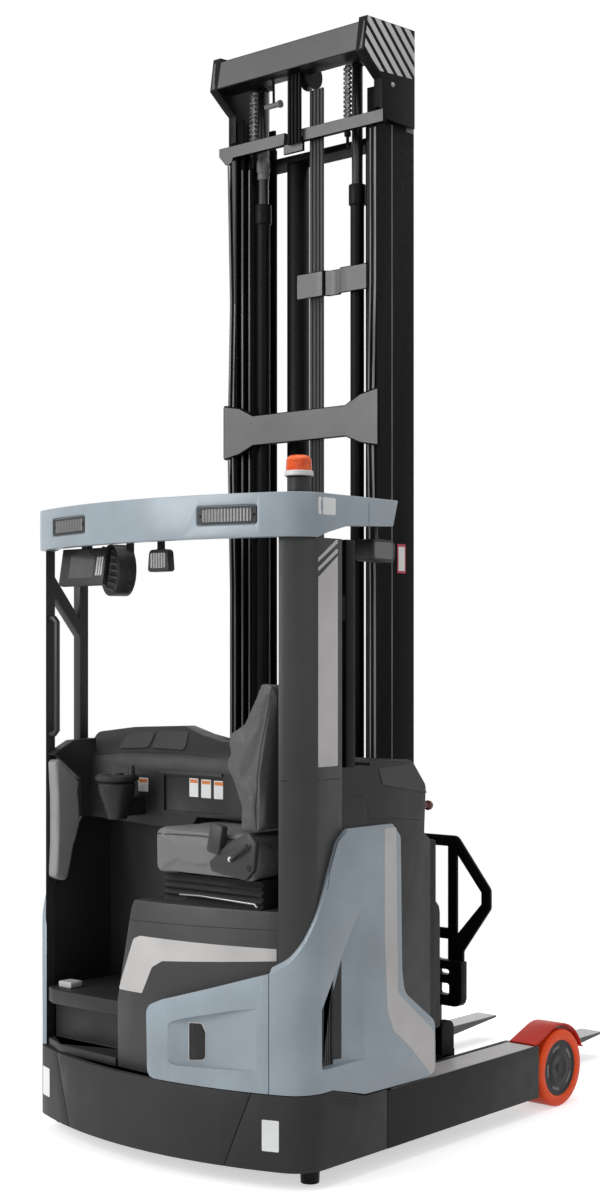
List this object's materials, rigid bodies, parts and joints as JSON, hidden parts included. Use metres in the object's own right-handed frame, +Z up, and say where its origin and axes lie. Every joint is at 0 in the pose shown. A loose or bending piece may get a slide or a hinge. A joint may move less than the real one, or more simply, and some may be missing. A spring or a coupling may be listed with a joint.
{
  "type": "reach truck",
  "caption": "Sit-on electric reach truck with a three-stage mast on a moving carriage, tilting forks, side shift, load backrest and an overhead guard over a sideways seat.",
  "frame": {"origin": "on the floor, in the middle of the truck's length and width", "axes": "+X towards the fork tips, +Y to the truck's left, +Z up"},
  "size_m": [2.42, 1.27, 3.92],
  "materials": {
    "blue_grey_paint": "satin blue-grey painted cover",
    "charcoal_plastic": "grained charcoal moulding",
    "black_steel": "satin black paint on steel",
    "battery": "painted battery case",
    "mast_steel": "black painted rolled mast sections",
    "orange_urethane": "cast orange urethane tyre",
    "red_orange_paint": "red-orange painted sheet",
    "tread": "dark solid tread",
    "amber_lens": "amber lens over a black base",
    "seat_vinyl": "dark grey seat vinyl",
    "hose_rubber": "black hydraulic hose",
    "bright_steel": "ground and chromed steel rod"
  },
  "bodies": {
    "truck": {"chassis_frame": "black_steel", "leg_right": "black_steel", "leg_left": "black_steel", "wheel_guard_right": "red_orange_paint", "wheel_guard_left": "red_orange_paint", "rear_skirt": "charcoal_plastic", "skirt_corner_right": "charcoal_plastic", "skirt_corner_left": "charcoal_plastic", "side_cover_right": "blue_grey_paint", "side_cover_left": "blue_grey_paint", "rear_cover": "blue_grey_paint", "body_housing": "charcoal_plastic", "battery_block": "battery", "corner_pillar": "charcoal_plastic", "left_guard_frame": "charcoal_plastic", "right_front_post": "charcoal_plastic", "guard_fascia": "blue_grey_paint", "guard_roof": "charcoal_plastic", "beacon": "amber_lens", "roof_display": "charcoal_plastic", "cab_fan": "charcoal_plastic", "cab_lamp": "charcoal_plastic", "work_light": "charcoal_plastic", "grab_handle": "charcoal_plastic", "cab_floor": "charcoal_plastic", "seat_hood": "charcoal_plastic", "dashboard": "charcoal_plastic", "side_pad": "seat_vinyl", "steering_console": "charcoal_plastic", "seat_suspension": "charcoal_plastic", "seat_cushion": "seat_vinyl", "seat_back": "seat_vinyl", "armrest": "charcoal_plastic"},
    "load_wheel_right_body": {"load_wheel_right": "orange_urethane"},
    "load_wheel_left_body": {"load_wheel_left": "orange_urethane"},
    "drive_unit": {"drive_housing": "black_steel"},
    "drive_wheel_body": {"drive_wheel": "tread"},
    "steering_wheel_body": {"steering_wheel": "charcoal_plastic"},
    "reach_mast": {"reach_carriage": "black_steel", "outer_mast": "mast_steel", "lift_cylinder_right": "black_steel", "lift_cylinder_left": "black_steel", "lift_chain_right": "mast_steel", "lift_chain_left": "mast_steel", "hose_bundle": "hose_rubber"},
    "middle_stage": {"middle_rail_right": "mast_steel", "middle_rail_left": "mast_steel", "middle_foot": "black_steel", "lift_rod_right": "bright_steel", "lift_rod_left": "bright_steel", "crosshead": "black_steel"},
    "inner_stage": {"inner_mast": "mast_steel", "free_lift_cylinder": "black_steel"},
    "lift_carriage": {"fork_carriage": "black_steel"},
    "side_shifter": {"side_shift_frame": "black_steel"},
    "fork_head": {"fork_frame": "black_steel", "load_backrest": "black_steel", "fork_right": "black_steel", "fork_left": "black_steel"}
  },
  "joints": [
    {"name": "load_wheel_right_roll", "type": "hinge", "parent": "truck", "child": "load_wheel_right_body", "pos_m": [0.39, -0.57, 0.1425], "axis": [0, 1, 0], "continuous": true},
    {"name": "load_wheel_left_roll", "type": "hinge", "parent": "truck", "child": "load_wheel_left_body", "pos_m": [0.39, 0.57, 0.1425], "axis": [0, 1, 0], "continuous": true},
    {"name": "drive_steer", "type": "hinge", "parent": "truck", "child": "drive_unit", "pos_m": [-0.955, -0.11, 0.375], "axis": [0, 0, 1], "range_deg": [-90, 90]},
    {"name": "drive_wheel_roll", "type": "hinge", "parent": "drive_unit", "child": "drive_wheel_body", "pos_m": [-0.955, -0.11, 0.1715], "axis": [0, 1, 0], "continuous": true},
    {"name": "steering_wheel_turn", "type": "hinge", "parent": "truck", "child": "steering_wheel_body", "pos_m": [-0.99, 0.3, 1.24], "axis": [0, 0, 1], "continuous": true},
    {"name": "mast_reach", "type": "slide", "parent": "truck", "child": "reach_mast", "axis": [1, 0, 0], "range_m": [0, 0.5]},
    {"name": "mast_lift", "type": "slide", "parent": "reach_mast", "child": "middle_stage", "axis": [0, 0, 1], "range_m": [0, 3]},
    {"name": "inner_lift", "type": "slide", "parent": "middle_stage", "child": "inner_stage", "axis": [0, 0, 1], "range_m": [0, 3]},
    {"name": "free_lift", "type": "slide", "parent": "inner_stage", "child": "lift_carriage", "axis": [0, 0, 1], "range_m": [0, 2.8]},
    {"name": "side_shift", "type": "slide", "parent": "lift_carriage", "child": "side_shifter", "axis": [0, 1, 0], "range_m": [-0.075, 0.075]},
    {"name": "fork_tilt", "type": "hinge", "parent": "side_shifter", "child": "fork_head", "pos_m": [-0.02, 0, 0.5], "axis": [0, 1, 0], "range_deg": [-4, 2]}
  ],
  "couplings": [
    {"joint": "inner_lift", "follows": "mast_lift", "ratio": 1}
  ]
}
